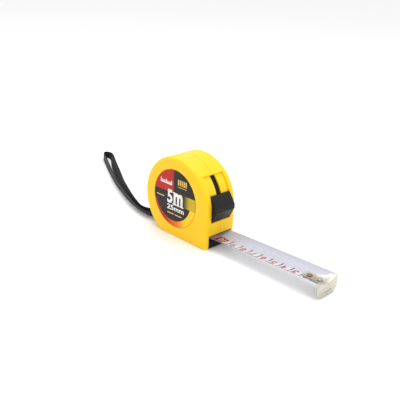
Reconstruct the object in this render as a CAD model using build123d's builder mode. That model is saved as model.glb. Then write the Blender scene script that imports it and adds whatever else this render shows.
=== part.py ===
from build123d import *
from math import asin, cos, degrees, radians, sin, sqrt, tan
import os

os.makedirs("parts", exist_ok=True)

# A 5 m tape measure with a 25 mm blade, standing on its flat base.
# +X is the way the blade comes out, +Z is up, and the drum turns about Y.
# The origin is on the base, straight below the drum's axis.

# Case
shell_radius = 36.4
axis_height = 31.0
case_width = 34.0
wall = 2.4
side_wall = 3.4
rim_radius = 3.6
seam_bevel = 0.3
heel_radius = 14.0
base_cut = 1.5
floor_height = 2.0
inner_radius = shell_radius - wall
inner_half_width = case_width / 2 - side_wall

# Mouth and the pad under the blade
mouth_half_width = 12.7
mouth_top = 11.1
pad_top = 6.1
pad_front = shell_radius - 0.4
pad_depth = 8.5
pad_foot_depth = 5.2
pad_groove_half_width = 2.6
pad_groove_depth = 1.2

# Label discs
label_height = 33.0
label_radius = 24.2
label_thickness = 0.5
label_recess = 0.8
recess_radius = label_radius + 0.3

# Thumb lock and its track, in degrees round the drum's axis
track_floor_radius = 35.2
track_half_width = 10.8
track_low = -14.4
track_high = 46.5
slot_half_width = 2.7
slot_low = -8.0
button_half_width = 10.5
button_low = -13.8
button_high = 20.5
strip_radius = 33.6
strip_thickness = 1.2
strip_half_width = 4.5
strip_low = -38.0
strip_high = 50.0

# Blade: a strip of 25 mm, curved across its width. It rises a little towards the hook,
# which stands on the ground. The belly's height is where its line passes below the axis.
blade_width = 25.0
blade_thickness = 0.25
blade_sagitta = 4.2
blade_tilt = 1.4
belly_height = 5.44
blade_end = 138.9
straight_from = 58.0
coil_radius = 23.9
drum_radius = 17.5
drum_wall = 1.2
coil_half_width = blade_width / 2

# Hook at the blade's end
hook_play = 1.0
hook_x = blade_end + hook_play
plate_thickness = 0.8
plate_half_width = 11.3
plate_drop = 8.55
tongue_length = 20.5
tongue_thickness = 0.6
rivet_radius = 1.2
rivet_head_radius = 2.1
rivet_setbacks = (6.2, 15.0)

# Centre post and drum
post_radius = 4.0
drum_bore = post_radius + 0.08
drum_half_width = 12.7
spring_half_width = 10.9
spring_thickness = 0.3
spring_inner_radius = 5.6
spring_pitch = 1.25
spring_turns = 8

# Case screws, on a circle round the drum's axis
screw_circle = 29.2
screw_angles = (84.0, 140.0, 196.0)
screw_radius = 1.25
screw_head_radius = 2.2
boss_radius = 3.0

# Wrist strap and its pin
pin_radius = 1.2
pin_x = -19.2
pocket_half_width = 5.5
pocket_top = 10.2
strap_width = 7.5
strap_thickness = 1.0
strap_start_height = 2.3
strap_slope = 0.0125


def polar(angle, radius):
    """A point in the XZ plane, given round the drum's axis."""
    return (radius * cos(radians(angle)), axis_height + radius * sin(radians(angle)))


def ring_sector(inner, outer, low, high):
    """A stretch of a ring round the drum's axis, between two angles."""
    centre = (0, axis_height)
    with BuildSketch() as sector:
        with BuildLine():
            far = CenterArc(centre, outer, low, high - low)
            near = CenterArc(centre, inner, low, high - low)
            Line(near @ 0, far @ 0)
            Line(near @ 1, far @ 1)
        make_face()
    return sector.sketch


def case_face():
    """The side view of the case: upright front, round back and a heel that meets the base."""
    heel_height = heel_radius - base_cut
    reach = shell_radius - heel_radius
    drop = axis_height - heel_height
    heel_x = -sqrt(reach**2 - drop**2)
    heel_top = (heel_x * shell_radius / reach, axis_height - drop * shell_radius / reach)
    with BuildSketch() as side_view:
        with BuildLine():
            front = Line((shell_radius, -base_cut), (shell_radius, axis_height))
            back = ThreePointArc(front @ 1, (-shell_radius, axis_height), heel_top)
            heel = TangentArc(back @ 1, (heel_x, -base_cut), tangent=back % 1)
            Line(heel @ 1, front @ 0)
        make_face()
    return side_view.sketch


def half_shell(side):
    """One half of the case. side is 1 for the right half, towards -Y, and -1 for the left."""
    with BuildPart() as half:
        with BuildSketch(Plane.XZ):
            add(case_face())
        extrude(amount=side * case_width / 2)
        rim = half.edges().group_by(Axis.Y)[0 if side > 0 else -1]
        fillet(rim, rim_radius)
        split(bisect_by=Plane.XY, keep=Keep.TOP)
        chamfer(half.edges().group_by(Axis.Y)[-1 if side > 0 else 0], seam_bevel)

        # The hollow for the coil, above the floor and in front of the strap's pocket
        with BuildSketch(Plane.XZ):
            with Locations((0, axis_height)):
                Circle(inner_radius)
            with Locations((0, floor_height)):
                Rectangle(200, 40, align=(Align.CENTER, Align.MAX), mode=Mode.SUBTRACT)
            with Locations((pin_x + 4.0, pocket_top + 1.4)):
                Rectangle(60, 40, align=(Align.MAX, Align.MAX), mode=Mode.SUBTRACT)
        extrude(amount=side * inner_half_width, mode=Mode.SUBTRACT)

        # The mouth, open at the bottom in front of the pad's foot
        with BuildSketch(Plane.XZ):
            with Locations((0, floor_height)):
                Rectangle(60, mouth_top - floor_height, align=(Align.MIN, Align.MIN))
            with Locations((pad_front - pad_foot_depth, -1)):
                Rectangle(20, 5, align=(Align.MIN, Align.MIN))
        extrude(amount=side * mouth_half_width, mode=Mode.SUBTRACT)

        # The recessed track of the lock, and the slot through it
        with BuildSketch(Plane.XZ):
            add(ring_sector(track_floor_radius, shell_radius + 5, track_low, track_high))
        extrude(amount=side * track_half_width, mode=Mode.SUBTRACT)
        with BuildSketch(Plane.XZ):
            add(ring_sector(inner_radius - 1, shell_radius, slot_low, track_high))
        extrude(amount=side * slot_half_width, mode=Mode.SUBTRACT)

        # The round recess for the label, with a bevelled edge
        with BuildSketch(Plane.XZ.offset(side * case_width / 2)):
            with Locations((0, label_height)):
                Circle(recess_radius)
        extrude(amount=-side * label_recess, mode=Mode.SUBTRACT)
        circles = half.edges().filter_by(GeomType.CIRCLE)
        recess_edges = circles.filter_by(lambda edge: abs(edge.radius - recess_radius) < 0.01)
        chamfer(recess_edges.group_by(Axis.Y)[0 if side > 0 else -1], 0.5)

        # Screw bosses
        with BuildSketch(Plane.XZ):
            for angle in screw_angles:
                with Locations(polar(angle, screw_circle)):
                    Circle(boss_radius)
        extrude(amount=side * (inner_half_width + 0.5))

        # The pocket for the strap, and the sockets of its pin
        with BuildSketch(Plane.XZ):
            with Locations((pin_x + 2.8, floor_height)):
                Rectangle(60, pocket_top - floor_height, align=(Align.MAX, Align.MIN))
        extrude(amount=side * pocket_half_width, mode=Mode.SUBTRACT)
        with BuildSketch(Plane.XY.offset(1.4)):
            with Locations((pin_x, 0)):
                Circle(pin_radius)
        extrude(amount=pocket_top - 0.4, mode=Mode.SUBTRACT)
    return half.part


# ---- Case ----
right_shell = half_shell(1)
left_shell = half_shell(-1)

with BuildPart() as case_half_right:
    add(right_shell)
    # Blind pilot holes that the screws bite into
    with BuildSketch(Plane.XZ):
        for angle in screw_angles:
            with Locations(polar(angle, screw_circle)):
                Circle(screw_radius)
    extrude(amount=10, mode=Mode.SUBTRACT)
case_half_right.part.label = "case_half_right"
export_step(case_half_right.part, "parts/case_half_right.step")

with BuildPart() as case_half_left:
    add(left_shell)
    # Clearance holes with sunk heads for the case screws
    with BuildSketch(Plane.XZ):
        for angle in screw_angles:
            with Locations(polar(angle, screw_circle)):
                Circle(screw_radius + 0.15)
    extrude(amount=-case_width, mode=Mode.SUBTRACT)
    with BuildSketch(Plane.XZ.offset(-case_width / 2)):
        for angle in screw_angles:
            with Locations(polar(angle, screw_circle)):
                Circle(screw_head_radius + 0.15)
    extrude(amount=2.4, mode=Mode.SUBTRACT)
    # The centre screw's hole, sunk below the label
    with BuildSketch(Plane.XZ):
        with Locations((0, axis_height)):
            Circle(1.5)
    extrude(amount=-case_width, mode=Mode.SUBTRACT)
    with BuildSketch(Plane.XZ.offset(-(case_width / 2 - label_recess))):
        with Locations((0, axis_height)):
            Circle(3.0)
    extrude(amount=1.7, mode=Mode.SUBTRACT)
case_half_left.part.label = "case_half_left"
export_step(case_half_left.part, "parts/case_half_left.step")

with BuildPart() as case_screws:
    with BuildSketch(Plane.XZ.offset(-(case_width / 2 - 2.4))):
        for angle in screw_angles:
            with Locations(polar(angle, screw_circle)):
                Circle(screw_radius)
    extrude(amount=case_width / 2 - 2.4 + 9)
    with BuildSketch(Plane.XZ.offset(-(case_width / 2 - 2.4))):
        for angle in screw_angles:
            with Locations(polar(angle, screw_circle)):
                Circle(screw_head_radius)
    extrude(amount=-1.6)
    with BuildSketch(Plane.XZ.offset(-(case_width / 2 - 0.8))):
        for angle in screw_angles:
            with Locations(polar(angle, screw_circle)):
                Rectangle(2.6, 0.6)
                Rectangle(0.6, 2.6)
    extrude(amount=0.9, mode=Mode.SUBTRACT)
case_screws.part.label = "case_screws"
export_step(case_screws.part, "parts/case_screws.step")

with BuildPart() as label_right:
    with BuildSketch(Plane.XZ.offset(case_width / 2 - label_recess)):
        with Locations((0, label_height)):
            Circle(label_radius)
    extrude(amount=label_thickness)
label_right.part.label = "label_right"
export_step(label_right.part, "parts/label_right.step")

with BuildPart() as label_left:
    with BuildSketch(Plane.XZ.offset(-(case_width / 2 - label_recess))):
        with Locations((0, label_height)):
            Circle(label_radius)
    extrude(amount=-label_thickness)
label_left.part.label = "label_left"
export_step(label_left.part, "parts/label_left.step")

with BuildPart() as mouth_pad:
    with BuildSketch(Plane.XZ):
        with BuildLine():
            Polyline(
                (pad_front - pad_depth, floor_height),
                (pad_front - pad_foot_depth + 0.2, floor_height),
                (pad_front - pad_foot_depth + 0.2, 0.4),
                (pad_front, 0.4),
                (pad_front, pad_top - 0.8),
                (pad_front - 0.8, pad_top),
                (pad_front - pad_depth + 1.5, pad_top),
                (pad_front - pad_depth, pad_top - 1.5),
                close=True,
            )
        make_face()
    extrude(amount=mouth_half_width - 0.2, both=True)
    # The groove that clears the rivets under the blade
    with BuildSketch(Plane.XY.offset(pad_top)):
        with Locations((pad_front, 0)):
            Rectangle(4 * pad_depth, 2 * pad_groove_half_width)
    extrude(amount=-pad_groove_depth, mode=Mode.SUBTRACT)
mouth_pad.part.label = "mouth_pad"
export_step(mouth_pad.part, "parts/mouth_pad.step")


# ---- Thumb lock ----
with BuildPart() as lock_button:
    with BuildSketch(Plane.XZ):
        with BuildLine():
            back = CenterArc((0, axis_height), track_floor_radius + 0.2, button_low, button_high - button_low)
            under = Polyline(back @ 0, polar(button_low, 37.2), polar(0.4, 41.0), polar(5.2, 41.1))
            ramp = ThreePointArc(under @ 1, polar(13.0, 38.5), polar(button_high, 36.7))
            Line(ramp @ 1, back @ 1)
        make_face()
    extrude(amount=button_half_width, both=True)
    crest = lock_button.edges().filter_by(Axis.Y).sort_by(Axis.X)[-2:]
    fillet(crest, 1.0)
    # The neck that reaches through the slot to the strip
    with BuildSketch(Plane.XZ):
        add(ring_sector(strip_radius, track_floor_radius + 0.6, -3, 12))
    extrude(amount=slot_half_width - 0.3, both=True)
lock_button.part.label = "lock_button"
export_step(lock_button.part, "parts/lock_button.step")

with BuildPart() as lock_strip:
    with BuildSketch(Plane.XZ):
        add(ring_sector(strip_radius - strip_thickness, strip_radius, strip_low, strip_high))
    extrude(amount=strip_half_width, both=True)
lock_strip.part.label = "lock_strip"
export_step(lock_strip.part, "parts/lock_strip.step")


# ---- Blade ----
def chord_of(sagitta):
    """The width across a strip of the blade's flat width, bent to this depth."""
    return blade_width * (1 - 8 / 3 * (sagitta / blade_width) ** 2)


def bend_radius_of(sagitta):
    return (chord_of(sagitta) ** 2 / 4 + sagitta**2) / (2 * sagitta)


def curved_strip(sagitta, lift, thickness):
    """The cross-section of a curved strip, standing lift above the underside of the blade."""
    radius = bend_radius_of(sagitta)
    half_angle = degrees(asin(chord_of(sagitta) / 2 / radius))
    # The middle of the strip stays on one line, so a flatter strip has a higher belly
    belly = (blade_sagitta - sagitta) / 3
    centre = (0, belly + radius)
    with BuildSketch() as section:
        with BuildLine():
            under = CenterArc(centre, radius - lift, -90 - half_angle, 2 * half_angle)
            over = CenterArc(centre, radius - lift - thickness, -90 - half_angle, 2 * half_angle)
            Line(under @ 0, over @ 0)
            Line(under @ 1, over @ 1)
        make_face()
    return section.sketch


def across_blade(distance):
    """The plane across the blade at this distance along it. Its origin is on the belly."""
    rise = radians(blade_tilt)
    place = (distance * cos(rise), 0, belly_height + distance * sin(rise))
    return Plane(origin=place, x_dir=(0, 1, 0), z_dir=(cos(rise), 0, sin(rise)))


def along_blade(lift):
    """The plane that lies along the blade, this far above its belly."""
    rise = radians(blade_tilt)
    place = (-lift * sin(rise), 0, belly_height + lift * cos(rise))
    return Plane(origin=place, x_dir=(cos(rise), 0, sin(rise)), z_dir=(-sin(rise), 0, cos(rise)))


# Where the blade changes shape: place along it, depth of its curve
blade_stations = [
    (4.4, 0.15),
    (16.0, 1.6),
    (shell_radius, 3.0),
    (straight_from, blade_sagitta),
]

with BuildPart() as blade:
    # It leaves the coil flat and takes its curve on the way out of the mouth
    for distance, sagitta in blade_stations:
        with BuildSketch(across_blade(distance)):
            add(curved_strip(sagitta, 0, blade_thickness))
    loft()
    with BuildSketch(across_blade(straight_from)):
        add(curved_strip(blade_sagitta, 0, blade_thickness))
    extrude(amount=blade_end - straight_from)
    for setback in rivet_setbacks:
        with BuildSketch(along_blade(-2)):
            with Locations((hook_x - setback, 0)):
                Circle(rivet_radius)
        extrude(amount=10, mode=Mode.SUBTRACT)
blade.part.label = "blade"
export_step(blade.part, "parts/blade.step")

with BuildPart() as blade_coil:
    with BuildSketch(Plane.XZ):
        with Locations((0, axis_height)):
            Circle(coil_radius)
            Circle(drum_radius, mode=Mode.SUBTRACT)
    extrude(amount=coil_half_width, both=True)
blade_coil.part.label = "blade_coil"
export_step(blade_coil.part, "parts/blade_coil.step")


# ---- Hook ----
with BuildPart() as hook:
    # The tongue, curved like the blade, with wide shoulders at the bend and a narrow tip
    with BuildSketch(across_blade(hook_x - tongue_length)):
        add(curved_strip(blade_sagitta, blade_thickness, tongue_thickness))
    extrude(amount=tongue_length + 0.2)
    with BuildSketch(along_blade(-2)):
        with BuildLine():
            Polyline(
                (hook_x + 0.2, -10.2),
                (hook_x - 3.6, -10.2),
                (hook_x - 6.0, -6.6),
                (hook_x - 14.0, -4.9),
                (hook_x - tongue_length + 1.4, -3.2),
                (hook_x - tongue_length, 0),
                (hook_x - tongue_length + 1.4, 3.2),
                (hook_x - 14.0, 4.9),
                (hook_x - 6.0, 6.6),
                (hook_x - 3.6, 10.2),
                (hook_x + 0.2, 10.2),
                close=True,
            )
        make_face()
    extrude(amount=12, mode=Mode.INTERSECT)
    # The plate, whose top edge follows the blade's curve
    with BuildSketch(across_blade(hook_x)):
        with BuildLine():
            bend_centre = bend_radius_of(blade_sagitta)
            bend_radius = bend_centre - blade_thickness - tongue_thickness
            corner_height = bend_centre - sqrt(bend_radius**2 - plate_half_width**2)
            top = ThreePointArc(
                (-plate_half_width, corner_height),
                (0, bend_centre - bend_radius),
                (plate_half_width, corner_height),
            )
            Polyline(
                top @ 1,
                (plate_half_width, -5.2),
                (plate_half_width - 4.0, -plate_drop),
                (-plate_half_width + 4.0, -plate_drop),
                (-plate_half_width, -5.2),
                top @ 0,
            )
        make_face()
        # The nail slot, a low arch
        with Locations((0, -4.9)):
            SlotOverall(8.0, 1.4, mode=Mode.SUBTRACT)
    extrude(amount=plate_thickness)
    arcs = hook.edges().filter_by(GeomType.CIRCLE)
    bend = arcs.filter_by(lambda edge: abs(edge.radius - bend_radius) < 0.01)
    fillet(bend.sort_by(Axis.X)[-1], 0.6)
    # The slots that let the hook shift by its own thickness on the rivets
    with BuildSketch(along_blade(0)):
        for setback in rivet_setbacks:
            with Locations((hook_x - setback + hook_play / 2, 0)):
                SlotOverall(2 * rivet_radius + 0.2 + hook_play, 2 * rivet_radius + 0.2)
    extrude(amount=3, mode=Mode.SUBTRACT)
hook.part.label = "hook"
export_step(hook.part, "parts/hook.step")

with BuildPart() as hook_rivets:
    rivet_seat = blade_thickness + tongue_thickness + 0.2
    for setback in rivet_setbacks:
        with BuildSketch(along_blade(-0.5)):
            with Locations((hook_x - setback, 0)):
                Circle(1.8)
        extrude(amount=0.5)
        with BuildSketch(along_blade(0)):
            with Locations((hook_x - setback, 0)):
                Circle(rivet_radius)
        extrude(amount=rivet_seat)
        with BuildSketch(along_blade(rivet_seat)):
            with Locations((hook_x - setback, 0)):
                Circle(rivet_head_radius)
        extrude(amount=0.7)
        rim = hook_rivets.edges().filter_by(GeomType.CIRCLE).sort_by(Axis.Z)
        fillet(rim.filter_by(lambda edge: abs(edge.radius - rivet_head_radius) < 0.01)[-1], 0.5)
hook_rivets.part.label = "hook_rivets"
export_step(hook_rivets.part, "parts/hook_rivets.step")


# ---- Drum, mainspring and post ----
with BuildPart() as drum:
    with BuildSketch(Plane.XZ):
        with Locations((0, axis_height)):
            Circle(drum_radius)
    extrude(amount=drum_half_width, both=True)
    with BuildSketch(Plane.XZ.offset(drum_half_width)):
        with Locations((0, axis_height)):
            Circle(drum_radius - drum_wall)
    extrude(amount=-(2 * drum_half_width - 1.3), mode=Mode.SUBTRACT)
    with BuildSketch(Plane.XZ):
        with Locations((0, axis_height)):
            Circle(drum_bore)
    extrude(amount=-case_width, mode=Mode.SUBTRACT)
drum.part.label = "drum"
export_step(drum.part, "parts/drum.step")

with BuildPart() as drum_cover:
    with BuildSketch(Plane.XZ.offset(drum_half_width)):
        with Locations((0, axis_height)):
            Circle(drum_radius - drum_wall)
            Circle(drum_bore, mode=Mode.SUBTRACT)
    extrude(amount=-1.2)
drum_cover.part.label = "drum_cover"
export_step(drum_cover.part, "parts/drum_cover.step")

with BuildPart() as mainspring:
    # A spiral of half turns, each centred on one or the other side of the axis
    with BuildSketch(Plane.XZ):
        with BuildLine():
            half_turns = 2 * spring_turns
            for step in range(half_turns):
                shift = spring_pitch / 4 if step % 2 else -spring_pitch / 4
                radius = spring_inner_radius + spring_pitch * step / 2
                start = 180 * (step % 2)
                centre = (shift, axis_height)
                inner_arc = CenterArc(centre, radius - spring_thickness / 2, start, 180)
                outer_arc = CenterArc(centre, radius + spring_thickness / 2, start, 180)
                if step == 0:
                    Line(inner_arc @ 0, outer_arc @ 0)
            Line(inner_arc @ 1, outer_arc @ 1)
        make_face()
    extrude(amount=spring_half_width, both=True)
mainspring.part.label = "mainspring"
export_step(mainspring.part, "parts/mainspring.step")

with BuildPart() as centre_post:
    with BuildSketch(Plane.XZ):
        with Locations((0, axis_height)):
            Circle(post_radius)
    extrude(amount=inner_half_width, both=True)
    # The slit that holds the spring's inner end
    with BuildSketch(Plane.XZ.offset(-3)):
        with Locations((post_radius / 2 + 0.5, axis_height)):
            Rectangle(post_radius + 1, 0.7)
    extrude(amount=14, mode=Mode.SUBTRACT)
    # The blind hole for the centre screw
    with BuildSketch(Plane.XZ.offset(-inner_half_width)):
        with Locations((0, axis_height)):
            Circle(1.35)
    extrude(amount=8, mode=Mode.SUBTRACT)
centre_post.part.label = "centre_post"
export_step(centre_post.part, "parts/centre_post.step")

with BuildPart() as post_screw:
    head_plane = Plane.XZ.offset(-(case_width / 2 - label_recess - 1.7))
    with BuildSketch(head_plane):
        with Locations((0, axis_height)):
            Circle(1.35)
    extrude(amount=8)
    with BuildSketch(head_plane):
        with Locations((0, axis_height)):
            Circle(2.8)
    extrude(amount=-1.5)
    with BuildSketch(head_plane.offset(-1.5)):
        with Locations((0, axis_height)):
            Rectangle(3.2, 0.7)
            Rectangle(0.7, 3.2)
    extrude(amount=0.8, mode=Mode.SUBTRACT)
post_screw.part.label = "post_screw"
export_step(post_screw.part, "parts/post_screw.step")

with BuildPart() as drum_washer_right:
    with BuildSketch(Plane.XZ.offset(drum_half_width + 0.25)):
        with Locations((0, axis_height)):
            Circle(22)
            Circle(post_radius + 0.3, mode=Mode.SUBTRACT)
    extrude(amount=0.4)
drum_washer_right.part.label = "drum_washer_right"
export_step(drum_washer_right.part, "parts/drum_washer_right.step")

with BuildPart() as drum_washer_left:
    with BuildSketch(Plane.XZ.offset(-(drum_half_width + 0.25))):
        with Locations((0, axis_height)):
            Circle(22)
            Circle(post_radius + 0.3, mode=Mode.SUBTRACT)
    extrude(amount=-0.4)
drum_washer_left.part.label = "drum_washer_left"
export_step(drum_washer_left.part, "parts/drum_washer_left.step")


# ---- Wrist strap ----
with BuildPart() as strap_pin:
    with BuildSketch(Plane.XY.offset(1.4)):
        with Locations((pin_x, 0)):
            Circle(pin_radius)
    extrude(amount=pocket_top - 0.4)
strap_pin.part.label = "strap_pin"
export_step(strap_pin.part, "parts/strap_pin.step")

# The loop's route along the middle of the webbing: round the pin, out along the near leg,
# round the fold at the end and back along the far leg
near_leg = [
    (pin_x + 1.9, -1.9),
    (-31.0, -5.2),
    (-42.0, -8.6),
    (-54.0, -7.9),
    (-66.0, -4.0),
    (-77.0, -0.4),
    (-88.5, 3.9),
    (-104.0, 10.2),
    (-122.0, 18.2),
    (-139.0, 27.3),
    (-157.0, 36.9),
    (-170.0, 43.3),
    (-182.5, 49.6),
    (-194.0, 56.6),
]
far_leg = [
    (-190.8, 62.6),
    (-175.0, 53.4),
    (-162.0, 46.3),
    (-137.0, 32.6),
    (-120.0, 22.4),
    (-102.6, 14.0),
    (-87.4, 7.4),
    (-76.0, 3.2),
    (-65.0, -0.2),
    (-54.0, -4.4),
    (-45.0, -4.2),
    (-33.0, 0.6),
    (pin_x + 1.9, 2.0),
]
route = [Vector(x, y) for x, y in near_leg + far_leg]


def corner_radii(points):
    """The largest smooth arc at each corner of a closed route."""
    radii = []
    for index, corner in enumerate(points):
        before = corner - points[index - 1]
        after = points[(index + 1) % len(points)] - corner
        shorter = min(before.length, after.length)
        half_turn = radians(before.get_angle(after)) / 2
        radii.append(0.45 * shorter / tan(half_turn))
    return radii


strap_radii = corner_radii(route)
print("strap bend radii:", [round(radius, 1) for radius in strap_radii])

with BuildPart() as wrist_strap:
    strap_plane = Plane(
        origin=(0, 0, strap_start_height - strap_slope * pin_x),
        x_dir=(1, 0, strap_slope),
        z_dir=(-strap_slope, 0, 1),
    )
    with BuildSketch(strap_plane):
        with BuildLine():
            FilletPolyline(*route, radius=strap_radii, close=True)
        make_face()
        offset(amount=strap_thickness / 2)
        offset(amount=-strap_thickness, mode=Mode.SUBTRACT)
    extrude(amount=strap_width)
wrist_strap.part.label = "wrist_strap"
export_step(wrist_strap.part, "parts/wrist_strap.step")
print("strap volume:", round(wrist_strap.part.volume), "mm3")
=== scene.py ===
import math

import bmesh
import bpy
import numpy as np
from mathutils import Matrix, Vector


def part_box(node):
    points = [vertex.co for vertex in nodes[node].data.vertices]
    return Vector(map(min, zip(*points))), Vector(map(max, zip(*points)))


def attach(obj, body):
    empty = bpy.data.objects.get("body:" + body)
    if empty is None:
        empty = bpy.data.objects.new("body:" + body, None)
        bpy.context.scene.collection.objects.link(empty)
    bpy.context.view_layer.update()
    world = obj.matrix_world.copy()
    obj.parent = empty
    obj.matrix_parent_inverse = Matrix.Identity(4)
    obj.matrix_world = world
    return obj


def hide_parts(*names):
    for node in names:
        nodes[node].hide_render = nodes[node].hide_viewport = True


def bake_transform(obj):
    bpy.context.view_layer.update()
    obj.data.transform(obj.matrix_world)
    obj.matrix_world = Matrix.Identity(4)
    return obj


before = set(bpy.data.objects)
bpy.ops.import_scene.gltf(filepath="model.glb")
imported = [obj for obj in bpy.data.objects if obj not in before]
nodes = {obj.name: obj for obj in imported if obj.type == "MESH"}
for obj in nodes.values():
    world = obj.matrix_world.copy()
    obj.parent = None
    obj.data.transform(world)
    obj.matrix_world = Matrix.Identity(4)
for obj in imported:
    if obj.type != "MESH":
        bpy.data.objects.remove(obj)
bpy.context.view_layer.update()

# A 5 m by 25 mm tape measure with a thumb lock and a wrist strap. The blade comes out towards +X
# and the nearer label faces -Y. Lengths are in metres, except where a comment says millimetres.

MM = 0.001
scene = bpy.context.scene
scene.view_settings.view_transform = "Standard"

# ---- Camera ----
AZIMUTH, ELEVATION, ROLL = 44.9, 22.16, 2.17  # degrees
DISTANCE = 0.51625
TARGET = Vector((0.01233, 0.0, 0.03155))
LENS, SENSOR = 57.25, 36.0  # millimetres
CLIP_START = 0.01


def make_camera():
    az, el, roll = (math.radians(a) for a in (AZIMUTH, ELEVATION, ROLL))
    back = Vector((math.sin(az) * math.cos(el), -math.cos(az) * math.cos(el), math.sin(el)))
    level = Vector((math.cos(az), math.sin(az), 0))
    right = math.cos(roll) * level + math.sin(roll) * back.cross(level)
    turn = Matrix((right, back.cross(right), back)).transposed().to_4x4()
    camera = bpy.data.objects.new("camera", bpy.data.cameras.new("camera"))
    scene.collection.objects.link(camera)
    camera.matrix_world = Matrix.Translation(TARGET + back * DISTANCE) @ turn
    camera.data.lens = LENS
    camera.data.sensor_width = SENSOR
    camera.data.clip_start = CLIP_START
    scene.camera = camera


make_camera()

# ---- Materials ----
UV_NAME = "strip"


class Nodes:
    """A material's node tree, with short names for what the materials below use."""

    def __init__(self, name, colour=(0.8, 0.8, 0.8), rough=0.5, metal=0.0, spec=0.5):
        self.material = bpy.data.materials.new(name)
        self.material.use_nodes = True
        self.tree = self.material.node_tree
        self.shader = self.tree.nodes["Principled BSDF"]
        self.set("Base Color", colour)
        self.set("Roughness", rough)
        self.set("Metallic", metal)
        self.set("Specular IOR Level", spec)

    def add(self, kind):
        return self.tree.nodes.new("ShaderNode" + kind)

    def link(self, value, socket):
        """Links another node's output to a socket, or sets a number or a colour on it."""
        if isinstance(value, bpy.types.NodeSocket):
            self.tree.links.new(value, socket)
        elif isinstance(value, tuple):
            socket.default_value = (*value, 1)
        else:
            socket.default_value = value

    def feed(self, node, *values):
        """Gives a node its first inputs, in order, and returns its first output."""
        for value, socket in zip(values, node.inputs):
            self.link(value, socket)
        return node.outputs[0]

    def set(self, name, value):
        self.link(value, self.shader.inputs[name])

    def coords(self):
        return self.add("TexCoord").outputs["Object"]

    def uv(self):
        node = self.add("UVMap")
        node.uv_map = UV_NAME
        return node.outputs["UV"]

    def split(self, vector):
        node = self.add("SeparateXYZ")
        self.link(vector, node.inputs[0])
        return node.outputs

    def math(self, how, *values):
        node = self.add("Math")
        node.operation = how
        return self.feed(node, *values)

    def noise(self, vector, scale, detail=2.0):
        node = self.add("TexNoise")
        self.link(vector, node.inputs["Vector"])
        node.inputs["Scale"].default_value = scale
        node.inputs["Detail"].default_value = detail
        return node.outputs[0]

    def ramp(self, value, low, high, to_low=0.0, to_high=1.0):
        node = self.add("MapRange")
        node.interpolation_type = "SMOOTHSTEP"
        return self.feed(node, value, low, high, to_low, to_high)

    def mottle(self, vector, scale, to_low=0.0, to_high=1.0, detail=2.0):
        """Noise whose usual values, 0.3 to 0.7, are spread over to_low to to_high."""
        return self.ramp(self.noise(vector, scale, detail), 0.3, 0.7, to_low, to_high)

    def mix(self, factor, a, b):
        """A mix of two colours, which are inputs 6 and 7 of the node, and output 2."""
        node = self.add("Mix")
        node.data_type = "RGBA"
        self.link(factor, node.inputs["Factor"])
        self.link(a, node.inputs[6])
        self.link(b, node.inputs[7])
        return node.outputs[2]

    def bump(self, height, distance):
        node = self.add("Bump")
        node.inputs["Distance"].default_value = distance
        self.link(height, node.inputs["Height"])
        self.link(node.outputs[0], self.shader.inputs["Normal"])


def plain_finish(name, colour, dark, rough, grain, depth, metal=0.0, spec=0.5):
    """Plastic, rubber or metal with a fine grain, faint colour changes and rougher patches.
    grain is the scale of its bumps and depth is their height."""
    m = Nodes(name, colour, rough, metal, spec)
    place = m.coords()
    m.set("Base Color", m.mix(m.mottle(place, 60, detail=3), colour, dark))
    m.set("Roughness", m.mottle(place, 140, rough * 0.85, rough * 1.2, detail=3))
    m.bump(m.noise(place, grain), depth)
    return m.material


def hook_material():
    """Dull nickel plate with faint patches. The tongue is painted darker than the plate, a painted shade that
    dulls its bright reflections.
    """
    m = Nodes("hook_nickel", rough=0.42, metal=1.0)
    place = m.coords()
    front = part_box("hook")[1][0]
    patches = m.ramp(m.noise(place, 160, 3), 0.35, 0.65)
    plate = m.mix(patches, (0.64, 0.61, 0.53), (0.53, 0.505, 0.435))
    # The tongue's colours are darker than the plate's: painted shade that dulls its reflections
    tongue = m.mix(patches, (0.53, 0.51, 0.46), (0.37, 0.355, 0.32))
    on_plate = m.ramp(m.split(place)[0], front - 3.5 * MM, front - 0.8 * MM)
    m.set("Base Color", m.mix(on_plate, tongue, plate))
    m.set("Roughness", m.mottle(place, 240, 0.36, 0.5, detail=3))
    m.bump(m.noise(place, 600), 0.00003)
    return m.material


def rivet_material():
    """Copper at the tongue's tip and nickel nearer the bend."""
    m = Nodes("rivet_metal", rough=0.3, metal=1.0)
    place = m.coords()
    low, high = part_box("hook_rivets")
    nearer = m.math("GREATER_THAN", m.split(place)[0], (low[0] + high[0]) / 2)
    m.set("Base Color", m.mix(nearer, (0.30, 0.165, 0.10), (0.46, 0.42, 0.35)))
    m.set("Roughness", m.mottle(place, 900, 0.24, 0.4))
    m.bump(m.noise(place, 1800), 0.00003)
    return m.material


def dress(name, material):
    """Gives a CAD node its material."""
    mesh = nodes[name].data
    mesh.materials.clear()
    mesh.materials.append(material)


YELLOW = (0.90, 0.565, 0.006)
case_plastic = plain_finish(
    "case_plastic", YELLOW, (0.885, 0.545, 0.005), rough=0.38, grain=900, depth=0.00002, spec=0.3
)
lock_plastic = plain_finish(
    "black_plastic", (0.006, 0.006, 0.007), (0.011, 0.011, 0.012),
    rough=0.48, grain=1400, depth=0.00004, spec=0.22,
)
pad_rubber = plain_finish(
    "black_rubber", (0.008, 0.009, 0.008), (0.013, 0.013, 0.012),
    rough=0.7, grain=700, depth=0.00003, spec=0.2,
)
drum_plastic = plain_finish(
    "drum_plastic", (0.05, 0.05, 0.055), (0.07, 0.07, 0.075), rough=0.5, grain=700, depth=0.00003
)
washer_plastic = plain_finish(
    "washer_plastic", (0.75, 0.75, 0.72), (0.68, 0.68, 0.65), rough=0.45, grain=600, depth=0.00002
)
screw_steel = plain_finish(
    "screw_steel", (0.55, 0.55, 0.57), (0.42, 0.42, 0.44), rough=0.3, grain=1500, depth=0.00001, metal=1.0
)
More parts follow.
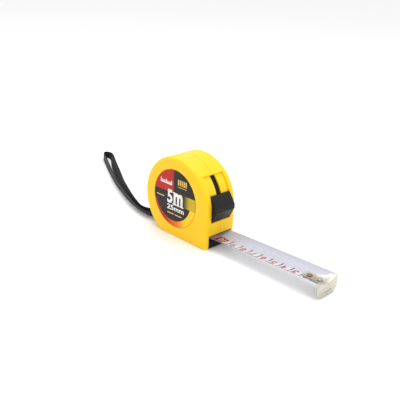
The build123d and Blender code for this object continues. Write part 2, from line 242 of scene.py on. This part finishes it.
spring_steel = plain_finish(
    "spring_steel", (0.30, 0.31, 0.34), (0.22, 0.22, 0.25), rough=0.32, grain=900, depth=0.00001, metal=1.0
)
coil_steel = plain_finish(
    "coil_steel", (0.62, 0.62, 0.66), (0.50, 0.50, 0.54), rough=0.35, grain=900, depth=0.00001
)

for names, material in (
    ("case_half_right case_half_left", case_plastic),
    ("lock_button lock_strip", lock_plastic),
    ("mouth_pad", pad_rubber),
    ("drum drum_cover centre_post", drum_plastic),
    ("drum_washer_right drum_washer_left", washer_plastic),
    ("case_screws post_screw strap_pin", screw_steel),
    ("mainspring", spring_steel),
    ("blade_coil", coil_steel),
    ("hook", hook_material()),
    ("hook_rivets", rivet_material()),
):
    for name in names.split():
        dress(name, material)


# ---- Mesh helpers ----
def add_piece(name, mesh, material, body=None):
    mesh.materials.append(material)
    piece = bpy.data.objects.new(name, mesh)
    scene.collection.objects.link(piece)
    if body:
        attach(piece, body)
    return piece


def add_strip(name, verts, faces, uvs, material, body=None):
    """A smooth-shaded piece from lists of points and faces. uvs has one pair for each point."""
    mesh = bpy.data.meshes.new(name)
    mesh.from_pydata([tuple(v) for v in verts], [], [tuple(f) for f in faces])
    layer = mesh.uv_layers.new(name=UV_NAME)
    corners = np.zeros(len(mesh.loops), int)
    mesh.loops.foreach_get("vertex_index", corners)
    layer.data.foreach_set("uv", np.asarray(uvs, float)[corners].ravel())
    mesh.validate()
    mesh.update()
    mesh.polygons.foreach_set("use_smooth", [True] * len(mesh.polygons))
    return add_piece(name, mesh, material, body)


def add_shape(name, shape, material, body=None):
    """A piece from a bmesh, which is used up."""
    mesh = bpy.data.meshes.new(name)
    shape.to_mesh(mesh)
    shape.free()
    return add_piece(name, mesh, material, body)


# ---- Wrist strap ----
# Millimetres. A flat loop round a pin at the back of the case, standing on its edge.
PIN_X = -19.2
STRAP_WIDTH, STRAP_THICKNESS = 7.5, 1.0
# The route of the webbing's middle line: x and y as in the CAD solid, then the line's
# height and how far the webbing leans from its edge, in degrees
STRAP_ROUTE = [
    (PIN_X + 1.9, -0.9, 6.05, 0),
    (PIN_X + 0.6, -2.0, 6.05, 0),
    (-24.5, -3.3, 5.9, -6),
    (-31.0, -5.4, 4.8, -22),
    (-42.0, -8.2, 3.4, -42),
    (-54.0, -7.6, 3.3, -38),
    (-66.0, -4.6, 3.6, -30),
    (-77.0, -1.4, 3.9, -20),
    (-88.5, 2.9, 4.1, -14),
    (-104.0, 9.0, 4.2, -12),
    (-122.0, 16.8, 4.2, -4),
    (-139.0, 25.6, 4.2, 3),
    (-157.0, 35.2, 4.1, 10),
    (-170.0, 42.2, 4.1, 11),
    (-184.0, 49.6, 4.2, 5),
    (-198.4, 57.6, 4.2, 0),
    (-190.6, 63.6, 4.2, -12),
    (-172.5, 51.9, 3.8, -32),
    (-159.0, 43.9, 3.1, -48),
    (-136.5, 31.4, 2.9, -50),
    (-119.8, 21.4, 3.2, -43),
    (-102.5, 12.9, 3.7, -32),
    (-87.5, 5.9, 4.1, -14),
    (-76.0, 1.4, 4.2, 2),
    (-65.3, -2.0, 4.0, 18),
    (-54.4, -5.0, 3.8, 30),
    (-45.0, -5.0, 4.5, 32),
    (-33.0, -0.4, 5.6, 16),
    (-25.0, 2.6, 6.1, 0),
    (PIN_X + 0.6, 2.1, 6.05, 0),
    (PIN_X + 1.9, 1.0, 6.05, 0),
]
RIB_PITCH, CHEVRON_WIDTH, CHEVRON_SLANT = 1.1, 1.9, 5.0


def spline_points(route):
    """Points along the NURBS spline whose control points are the route's."""
    curve = bpy.data.curves.new("route", "CURVE")
    curve.dimensions = "3D"
    curve.resolution_u = 6
    spline = curve.splines.new("NURBS")
    spline.points.add(len(route) - 1)
    for point, place in zip(spline.points, route):
        point.co = (*place, 1)
    spline.order_u = 3
    spline.use_endpoint_u = True
    line = bpy.data.objects.new("route", curve)
    scene.collection.objects.link(line)
    bpy.context.view_layer.update()
    mesh = bpy.data.meshes.new_from_object(line)
    points = np.array([v.co for v in mesh.vertices])
    bpy.data.objects.remove(line)
    bpy.data.curves.remove(curve)
    bpy.data.meshes.remove(mesh)
    return points


def strap_material():
    """Flat black webbing: fine ribs across it, with a herringbone of yarns."""
    m = Nodes("strap_webbing", (0.01, 0.01, 0.011), 0.8, spec=0.2)
    along, across, _ = m.split(m.uv())
    ribs = m.math("MULTIPLY", along, 2 * math.pi / (RIB_PITCH * MM))
    chevron = m.math("PINGPONG", m.math("MULTIPLY", across, 1 / (CHEVRON_WIDTH * MM)), 1.0)
    twill = m.math("SINE", m.math("ADD", ribs, m.math("MULTIPLY", chevron, CHEVRON_SLANT)))
    yarn = m.ramp(twill, -0.8, 0.9)
    m.set("Base Color", m.mix(yarn, (0.004, 0.004, 0.005), (0.024, 0.024, 0.025)))
    m.set("Roughness", m.ramp(yarn, 0, 1, 0.85, 0.6))
    m.set("Sheen Weight", 0.08)
    m.set("Sheen Roughness", 0.4)
    m.bump(yarn, 0.00012)
    return m.material


def ribbon_section(width, thickness, arc_steps=4):
    """A flat oval with round edges, as pairs across and through the webbing."""
    half, deep = width / 2, thickness / 2
    flat = half - deep
    section = []
    for side in (1, -1):
        for k in range(arc_steps + 1):
            turn = math.pi * (k / arc_steps - 0.5)
            section.append((side * (flat + deep * math.cos(turn)), side * deep * math.sin(turn)))
        section += [(side * flat * part, side * deep) for part in (0.5, 0.0, -0.5)]
    return section


def make_strap():
    line = spline_points([(x * MM, y * MM, z * MM) for x, y, z, _ in STRAP_ROUTE])
    # The lean goes through the same spline as a coordinate, so it changes as smoothly as the line
    leans = spline_points([(i * 0.01, lean * MM, 0) for i, (_, _, _, lean) in enumerate(STRAP_ROUTE)])
    leans = np.radians(leans[:, 1] / MM)
    tangents = np.gradient(line, axis=0)
    tangents /= np.linalg.norm(tangents, axis=1)[:, None]
    run = np.concatenate([[0], np.cumsum(np.linalg.norm(np.diff(line, axis=0), axis=1))])
    section = ribbon_section(STRAP_WIDTH * MM, STRAP_THICKNESS * MM)
    verts, uvs, faces = [], [], []
    for point, tangent, lean, distance in zip(line, tangents, leans, run):
        side = np.cross(tangent, (0, 0, 1))
        side /= np.linalg.norm(side)
        upward = np.cross(side, tangent)
        across = upward * math.cos(lean) + side * math.sin(lean)
        through = np.cross(across, tangent)
        for a, b in section:
            verts.append(point + across * a + through * b)
            uvs.append((distance, a))
    n, last = len(section), len(line) - 1
    for i in range(last):
        for k in range(n):
            after = (k + 1) % n
            faces.append((i * n + k, i * n + after, (i + 1) * n + after, (i + 1) * n + k))
    faces.append(tuple(range(n))[::-1])
    faces.append(tuple(last * n + k for k in range(n)))
    strap = add_strip("strap_webbing", verts, faces, uvs, strap_material(), "case")
    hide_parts("wrist_strap")


make_strap()

# ---- Labels ----
# Places on a label are in millimetres from its centre, to the reader's right and up.
LABEL_LOW, LABEL_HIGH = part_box("label_right")
LABEL_Z = (LABEL_LOW[2] + LABEL_HIGH[2]) / 2
RED = (0.46, 0.012, 0.008)
CHARCOAL = (0.014, 0.009, 0.010)
GOLD = (0.60, 0.40, 0.008)
ORANGE = (0.80, 0.16, 0.010)
RED_CORNER = (-1.3, 4.3)  # the red quarter is to the left of this and above it
GOLD_MIDDLE, GOLD_HALF_HEIGHT = 0.5, 5.2
# The crescent is what lies outside this circle and below its top line
CRESCENT_CENTRE, CRESCENT_RADIUS, CRESCENT_TOP = (-2.0, 1.2), 20.8, -4.7


def label_material(name, side):
    """The printed disc: a red quarter, a charcoal ground, a gold patch that fades in, and a
    crescent that goes from red through orange to the case's yellow."""
    m = Nodes(name, CHARCOAL, 0.3, spec=0.2)
    place = m.coords()
    row_x, _, row_z = m.split(place)
    x = m.math("MULTIPLY", row_x, side / MM)
    z = m.math("MULTIPLY", m.math("SUBTRACT", row_z, LABEL_Z), 1 / MM)

    left, over = m.math("LESS_THAN", x, RED_CORNER[0]), m.math("GREATER_THAN", z, RED_CORNER[1])
    colour = m.mix(m.math("MULTIPLY", left, over), CHARCOAL, RED)

    off_middle = m.math("ABSOLUTE", m.math("SUBTRACT", z, GOLD_MIDDLE))
    in_band = m.math("LESS_THAN", off_middle, GOLD_HALF_HEIGHT)
    gold = m.math("MULTIPLY", in_band, m.ramp(x, 9.5, 19.0, 0.0, 0.95))
    colour = m.mix(gold, colour, GOLD)

    offsets = [m.math("SUBTRACT", value, centre) for value, centre in zip((x, z), CRESCENT_CENTRE)]
    away = m.math("SQRT", m.math("ADD", *[m.math("POWER", offset, 2.0) for offset in offsets]))
    outside, below = m.math("GREATER_THAN", away, CRESCENT_RADIUS), m.math("LESS_THAN", z, CRESCENT_TOP)
    crescent = m.math("MULTIPLY", outside, below)
    sweep = m.mix(m.ramp(x, -12.0, 4.0), RED, ORANGE)
    sweep = m.mix(m.ramp(x, 2.0, 14.0), sweep, YELLOW)
    colour = m.mix(crescent, colour, sweep)

    m.set("Base Color", m.mix(m.mottle(place, 250, 0.0, 0.02), colour, (0.5, 0.5, 0.5)))
    m.set("Roughness", m.mottle(place, 400, 0.24, 0.36))
    m.bump(m.noise(place, 900), 0.00001)
    return m.material


def print_ink(name, colour):
    m = Nodes(name, colour, 0.35)
    place = m.coords()
    m.set("Base Color", m.mix(m.mottle(place, 1500, 0.0, 0.12), colour, tuple(0.7 * c for c in colour)))
    m.set("Roughness", m.mottle(place, 700, 0.3, 0.42))
    return m.material


white_ink = print_ink("ink_white", (0.85, 0.84, 0.80))
gold_ink = print_ink("ink_gold", (0.72, 0.47, 0.06))
red_ink = print_ink("ink_red", (0.46, 0.05, 0.085))


def text_shape(text, weight):
    """A flat text as a bmesh, in a font size of 10. weight is how far its strokes are swelled."""
    curve = bpy.data.curves.new("text", "FONT")
    curve.body = text
    curve.size = 10
    curve.offset = weight
    curve.align_x = "CENTER"
    curve.resolution_u = 5
    holder = bpy.data.objects.new("text", curve)
    scene.collection.objects.link(holder)
    bpy.context.view_layer.update()
    mesh = bpy.data.meshes.new_from_object(holder)
    shape = bmesh.new()
    shape.from_mesh(mesh)
    bpy.data.objects.remove(holder)
    bpy.data.curves.remove(curve)
    bpy.data.meshes.remove(mesh)
    bmesh.ops.remove_doubles(shape, verts=shape.verts, dist=1e-6)
    return shape


def fit_box(shape, low, high):
    """Stretches a flat shape to fill a rectangle."""
    co = np.array([v.co for v in shape.verts])
    old_low, old_high = co.min(axis=0), co.max(axis=0)
    for v in shape.verts:
        for k in (0, 1):
            v.co[k] = low[k] + (v.co[k] - old_low[k]) / (old_high[k] - old_low[k]) * (high[k] - low[k])


def add_box(shape, low, high):
    """Adds a flat rectangle to a bmesh."""
    (x0, y0), (x1, y1) = low, high
    shape.faces.new([shape.verts.new((x, y, 0)) for x, y in ((x0, y0), (x1, y0), (x1, y1), (x0, y1))])


def thicken(shape, depth):
    """Turns flat faces into a closed slab of this depth. bmesh's own extrude would give the same
    slab with its faces in another order each run."""
    flat = shape.faces[:]
    rim = [corner for face in flat for corner in face.loops if len(corner.edge.link_faces) == 1]
    rim = [(corner.vert, corner.link_loop_next.vert, corner.face) for corner in rim]
    raised = {v: shape.verts.new((v.co.x, v.co.y, depth)) for v in shape.verts[:]}
    for face in flat:
        shape.faces.new([raised[v] for v in face.verts], face)
    for a, b, face in rim:
        shape.faces.new((b, a, raised[a], raised[b]), face)
    bmesh.ops.recalc_face_normals(shape, faces=shape.faces)


def merge(shape, other):
    """Moves the faces of one bmesh into another."""
    mesh = bpy.data.meshes.new("part")
    other.to_mesh(mesh)
    other.free()
    shape.from_mesh(mesh)
    bpy.data.meshes.remove(mesh)


INK, INK_GAP = 0.00004, 0.00001


def add_print(name, shape, side, ink):
    """Lays a shape on the label's face as a piece. Its height is already in metres."""
    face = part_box("label_right")[0][1] if side > 0 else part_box("label_left")[1][1]
    for v in shape.verts:
        x, z, depth = v.co
        v.co = (side * x * MM, face - side * (depth + INK_GAP), LABEL_Z + z * MM)
    if side < 0:
        bmesh.ops.recalc_face_normals(shape, faces=shape.faces)
    add_shape(name, shape, ink, "case")


# Left end, right end and foot of each slab serif of the 5m
SERIFS = ((-2.1, 2.3, -5.45), (2.8, 6.0, -5.45), (6.8, 10.6, -5.45), (-2.2, 0.6, 4.5))
SERIF_HEIGHT = 1.0
# The scale: its line, then the ticks on it, of which every fourth is tall
SCALE_LEFT, SCALE_RIGHT, SCALE_FOOT, SCALE_TOP = -16.8, -3.4, 10.6, 11.5
TICK_COUNT, TICK_PITCH, TICK_WIDTH = 9, 1.575, 0.8
TALL_TICK, SHORT_TICK = 2.9, 1.6
# The gold bars: five upright ones over a rule, then three thin lines
BAR_COUNT, BAR_PITCH, BAR_WIDTH = 5, 2.2, 1.4
BAR_LEFT, BAR_FOOT, BAR_TOP = 3.6, 12.9, 17.6
GOLD_LINES = (
    ((3.6, 11.1), (13.8, 11.6)),
    ((-21.6, -1.6), (-12.4, -0.7)),
    ((-8.4, -14.2), (-0.6, -13.3)),
    ((0.8, -14.2), (8.6, -13.3)),
)


def print_label(side, tag):
    length = text_shape("5", 0.35)
    fit_box(length, (-8.8, -5.4), (-2.5, 6.6))
    metres = text_shape("m", 0.42)
    fit_box(metres, (-1.2, -5.0), (9.6, 5.5))
    merge(length, metres)
    thicken(length, INK)
    serifs = bmesh.new()
    for left, right, foot in SERIFS:
        add_box(serifs, (left, foot), (right, foot + SERIF_HEIGHT))
    # A little thicker than the letters, so that no two faces lie in one plane
    thicken(serifs, 1.6 * INK)
    merge(length, serifs)
    add_print(f"label_length_{tag}", length, side, white_ink)

    width = text_shape("25mm", 0.3)
    fit_box(width, (-8.9, -10.7), (11.2, -6.2))
    thicken(width, INK)
    add_print(f"label_width_{tag}", width, side, white_ink)

    ticks = bmesh.new()
    add_box(ticks, (SCALE_LEFT, SCALE_FOOT), (SCALE_RIGHT, SCALE_TOP))
    for k in range(TICK_COUNT):
        x = SCALE_LEFT + k * TICK_PITCH
        tall = TALL_TICK if k % 4 == 0 else SHORT_TICK
        add_box(ticks, (x, SCALE_TOP), (x + TICK_WIDTH, SCALE_TOP + tall))
    thicken(ticks, INK)
    add_print(f"label_ticks_{tag}", ticks, side, white_ink)

    bars = bmesh.new()
    for k in range(BAR_COUNT):
        x = BAR_LEFT + k * BAR_PITCH
        add_box(bars, (x, BAR_FOOT), (x + BAR_WIDTH, BAR_TOP))
    for low, high in GOLD_LINES:
        add_box(bars, low, high)
    thicken(bars, INK)
    add_print(f"label_bars_{tag}", bars, side, gold_ink)


for name, side, tag in (("label_right", 1, "right"), ("label_left", -1, "left")):
    dress(name, label_material(name, side))
    print_label(side, tag)

# ---- Blade ----
# Millimetres along the blade, from the drum's side to the hook. The section is an arc whose
# height, the sagitta, grows from almost nothing at the drum to its full size outside the mouth.
TILT = math.radians(1.4)
WIDTH, SAGITTA, BELLY_HEIGHT = 25.0, 4.2, 5.44
BLADE_START, BLADE_END, ZERO = 4.4, 138.9, 139.9
STATIONS = ((BLADE_START, 0.15), (16.0, 1.6), (36.4, 3.0), (58.0, SAGITTA))
STEPS_TO = 60.0  # short steps along the part that changes its section, long ones past it
SHORT_STEP, LONG_STEP = 1.6, 3.0
SKIN = 0.25  # the thickness of the CAD blade, inside which the sheet's back and face lie
BACK_LIFT, FACE_LIFT = 0.02, SKIN - 0.03
# Each kind of tick: its pitch, half its width and how far it reaches from the near edge
TICKS = ((1.0, 0.12, 4.2), (5.0, 0.24, 8.2), (10.0, 0.6, 14.5))
EDGE_LINE = 0.35
# The red block before the 10 mark: centre and half size, from the hook and from the near edge
BLOCK_CENTRE, BLOCK_HALF = (99.2, 8.8), (4.9, 5.2)


def on_blade(distance, across, lift):
    """A point of the blade in the row frame, from millimetres along it, across it and above it."""
    sagitta = float(np.interp(distance, *zip(*STATIONS)))
    chord = WIDTH * (1 - 8 / 3 * (sagitta / WIDTH) ** 2)
    radius = (chord**2 / 4 + sagitta**2) / (2 * sagitta)
    turn = across / radius
    y = (radius - lift) * math.sin(turn)
    up = (SAGITTA - sagitta) / 3 + radius - (radius - lift) * math.cos(turn)
    x = distance * math.cos(TILT) - up * math.sin(TILT)
    z = BELLY_HEIGHT + distance * math.sin(TILT) + up * math.cos(TILT)
    return (x * MM, y * MM, z * MM)


def blade_material():
    """Painted steel: millimetre ticks along the near edge, longer at 5 and 10, a red line by the
    edge and a red block before the 10 mark. The lavender grey ground turns lighter towards the
    near edge, a painted highlight. Lengths on the strip are from the hook."""
    m = Nodes("blade_paint_and_highlight", (0.5, 0.5, 0.54), 0.3)
    place = m.uv()
    along, across, _ = m.split(place)
    from_hook = m.math("MULTIPLY", along, 1 / MM)
    near = m.math("ADD", m.math("MULTIPLY", across, 1 / MM), WIDTH / 2)
    # Painted highlight: the near half is lighter than the lavender grey far half
    paint = m.mix(m.ramp(near, 9.0, 15.0), (0.60, 0.60, 0.62), (0.45, 0.455, 0.52))

    marks = 0.0
    for pitch, half, reach in TICKS:
        line = m.math("LESS_THAN", m.math("PINGPONG", from_hook, pitch / 2), half)
        tick = m.math("MULTIPLY", line, m.math("LESS_THAN", near, reach))
        marks = m.math("MAXIMUM", marks, tick)
    paint = m.mix(m.math("MULTIPLY", marks, 0.95), paint, (0.008, 0.008, 0.012))

    edge = m.math("LESS_THAN", near, EDGE_LINE)
    paint = m.mix(m.math("MULTIPLY", edge, 0.7), paint, (0.35, 0.05, 0.06))

    in_length = m.math("COMPARE", from_hook, BLOCK_CENTRE[0], BLOCK_HALF[0])
    in_width = m.math("COMPARE", near, BLOCK_CENTRE[1], BLOCK_HALF[1])
    paint = m.mix(m.math("MULTIPLY", in_length, in_width), paint, (0.33, 0.012, 0.03))

    m.set("Base Color", paint)
    m.set("Roughness", m.mottle(place, 300, 0.26, 0.38, detail=3))
    m.bump(m.noise(place, 1500), 0.000006)
    return m.material


def blade_back_material():
    m = Nodes("blade_back", (0.6, 0.6, 0.63), 0.34)
    place = m.coords()
    m.set("Base Color", m.mix(m.mottle(place, 90, detail=3), (0.76, 0.76, 0.79), (0.70, 0.70, 0.73)))
    m.set("Roughness", m.mottle(place, 400, 0.3, 0.42))
    m.bump(m.noise(place, 1200), 0.000006)
    return m.material


def blend_blade(piece):
    """Bakes the piece's transform into its mesh."""
    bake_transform(piece)


def make_blade():
    """The strip's printed face and plain back as one closed sheet, shaped like the CAD blade."""
    along = np.concatenate(
        [np.arange(BLADE_START, STEPS_TO, SHORT_STEP), np.arange(STEPS_TO, BLADE_END, LONG_STEP), [BLADE_END]]
    )
    across = np.linspace(-WIDTH / 2, WIDTH / 2, 29)
    n, rows = len(across), len(along)
    verts, uvs, faces = [], [], []
    for lift in (BACK_LIFT, FACE_LIFT):
        for a in along:
            for v in across:
                verts.append(on_blade(a, v, lift))
                uvs.append(((ZERO - a) * MM, v * MM))
    top = n * rows

    def add_wall(a, b, flip):
        wall = (a, b, top + b, top + a)
        faces.append(wall[::-1] if flip else wall)

    for i in range(rows - 1):
        for k in range(n - 1):
            a, b, c, d = i * n + k, i * n + k + 1, (i + 1) * n + k + 1, (i + 1) * n + k
            faces.append((a, b, c, d))
            faces.append((top + d, top + c, top + b, top + a))
    for i in range(rows - 1):
        for k, flip in ((0, False), (n - 1, True)):
            add_wall(i * n + k, (i + 1) * n + k, flip)
    for i, flip in ((0, True), (rows - 1, False)):
        for k in range(n - 1):
            add_wall(i * n + k, i * n + k + 1, flip)
    strip = add_strip("blade_strip", verts, faces, uvs, blade_material())
    strip.data.materials.append(blade_back_material())
    for polygon in strip.data.polygons:
        if all(v < top for v in polygon.vertices):
            polygon.material_index = 1
    shape = bmesh.new()
    shape.from_mesh(strip.data)
    bmesh.ops.recalc_face_normals(shape, faces=shape.faces)
    shape.to_mesh(strip.data)
    shape.free()
    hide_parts("blade")
    blend_blade(strip)


make_blade()

# Millimetres. The numbers are drawn about a line along the blade, NUMBER_LINE from its near edge,
# with their feet on the far side of it.
FIRST_NUMBER, LAST_NUMBER = 2, 10
NUMBER_LINE, NUMBER_FOOT = 11.2, -1.6
NUMBER_DEPTH, NUMBER_LIFT = 0.03, 0.005
LONGEST_EDGE = 0.8


def number_shape(n):
    """A centimetre number, just before its mark: x is away from the hook and y is towards the near
    edge. The last one is wider and lower, to fit the red block."""
    if n < LAST_NUMBER:
        weight, half_width, top, centre = 0.3, 2.1, 5.6, n * 10 - 4.2
    else:
        weight, half_width, top, centre = 0.05, 2.4, 4.2, BLOCK_CENTRE[0] - 0.5
    digits = text_shape(str(n), weight)
    fit_box(digits, (centre - half_width, NUMBER_FOOT), (centre + half_width, top))
    return digits


def make_numbers():
    """Centimetre numbers, upright for a reader with the hook on the left. The hook's tongue
    covers the place of the 1."""
    small, last = bmesh.new(), bmesh.new()
    for n in range(FIRST_NUMBER, LAST_NUMBER + 1):
        merge(small if n < LAST_NUMBER else last, number_shape(n))
    for shape, name, ink in ((small, "blade_numbers", red_ink), (last, "blade_ten", white_ink)):
        # Short edges, so that the digits follow the curved blade
        bmesh.ops.triangulate(shape, faces=shape.faces)
        long_edges = [e for e in shape.edges if e.calc_length() > LONGEST_EDGE]
        bmesh.ops.subdivide_edges(shape, edges=long_edges, cuts=2)
        bmesh.ops.triangulate(shape, faces=shape.faces)
        thicken(shape, NUMBER_DEPTH)
        for v in shape.verts:
            from_hook, up, depth = v.co
            across = NUMBER_LINE - up - WIDTH / 2
            v.co = on_blade(ZERO - from_hook, across, SKIN + NUMBER_LIFT + depth)
        bmesh.ops.recalc_face_normals(shape, faces=shape.faces)
        piece = add_shape(name, shape, ink)
        blend_blade(piece)


make_numbers()

# ---- Floor and light ----
FLOOR_HALF = 4


def make_floor():
    paint = Nodes("floor", (0.93, 0.93, 0.93), 0.6, spec=0.2)
    mesh = bpy.data.meshes.new("floor")
    corners = [(x * FLOOR_HALF, y * FLOOR_HALF, 0) for x, y in ((-1, -1), (1, -1), (1, 1), (-1, 1))]
    mesh.from_pydata(corners, [], [(0, 1, 2, 3)])
    add_piece("floor", mesh, paint.material)


def make_world(strength):
    world = bpy.data.worlds.new("studio")
    scene.world = world
    world.use_nodes = True
    background = world.node_tree.nodes["Background"]
    background.inputs["Color"].default_value = (1, 1, 1, 1)
    background.inputs["Strength"].default_value = strength


def softbox(name, place, towards, size, power):
    light = bpy.data.lights.new(name, "AREA")
    light.shape = "RECTANGLE"
    light.size, light.size_y = size
    light.energy = power
    lamp = bpy.data.objects.new(name, light)
    lamp.location = place
    lamp.rotation_euler = (Vector(towards) - Vector(place)).to_track_quat("-Z", "Y").to_euler()
    scene.collection.objects.link(lamp)


make_floor()
make_world(strength=1.0)
softbox("overhead", place=(-0.05, 0.15, 0.9), towards=(0.0, 0.0, 0.0), size=(0.9, 0.7), power=5.0)
softbox("right_key", place=(0.9, -0.1, 0.7), towards=(0.03, 0.0, 0.03), size=(0.5, 0.5), power=0.9)
